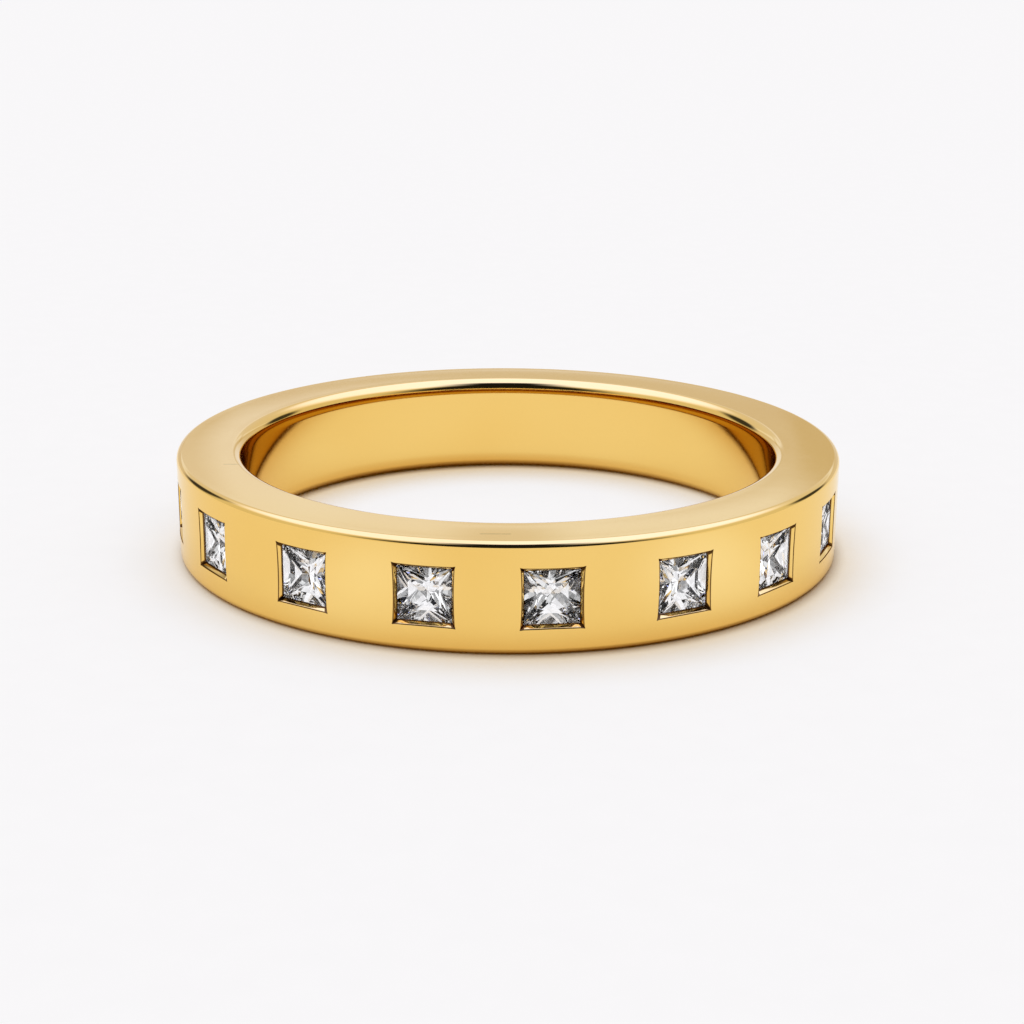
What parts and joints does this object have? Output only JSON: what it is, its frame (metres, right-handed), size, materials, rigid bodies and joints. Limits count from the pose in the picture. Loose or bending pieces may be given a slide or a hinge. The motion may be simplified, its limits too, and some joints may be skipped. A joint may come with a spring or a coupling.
{
  "type": "diamond band ring",
  "caption": "Flat polished gold band ring lying on its side, flush set all round with square princess-cut diamonds in bevelled seats.",
  "frame": {"origin": "on the bore's axis, at the middle of the face that the ring rests on", "axes": "+Z along the bore, up from the surface that the ring lies on; -Y towards the front stones"},
  "size_m": [0.0212, 0.0212, 0.0033],
  "materials": {
    "gold": "polished yellow gold",
    "diamond": "polished facets"
  },
  "bodies": {
    "root": {"band": "gold", "stone_01": "diamond", "stone_02": "diamond", "stone_03": "diamond", "stone_04": "diamond", "stone_05": "diamond", "stone_06": "diamond", "stone_07": "diamond", "stone_08": "diamond", "stone_09": "diamond", "stone_10": "diamond", "stone_11": "diamond", "stone_12": "diamond", "stone_13": "diamond", "stone_14": "diamond", "stone_15": "diamond", "stone_16": "diamond", "stone_17": "diamond"}
  },
  "joints": []
}
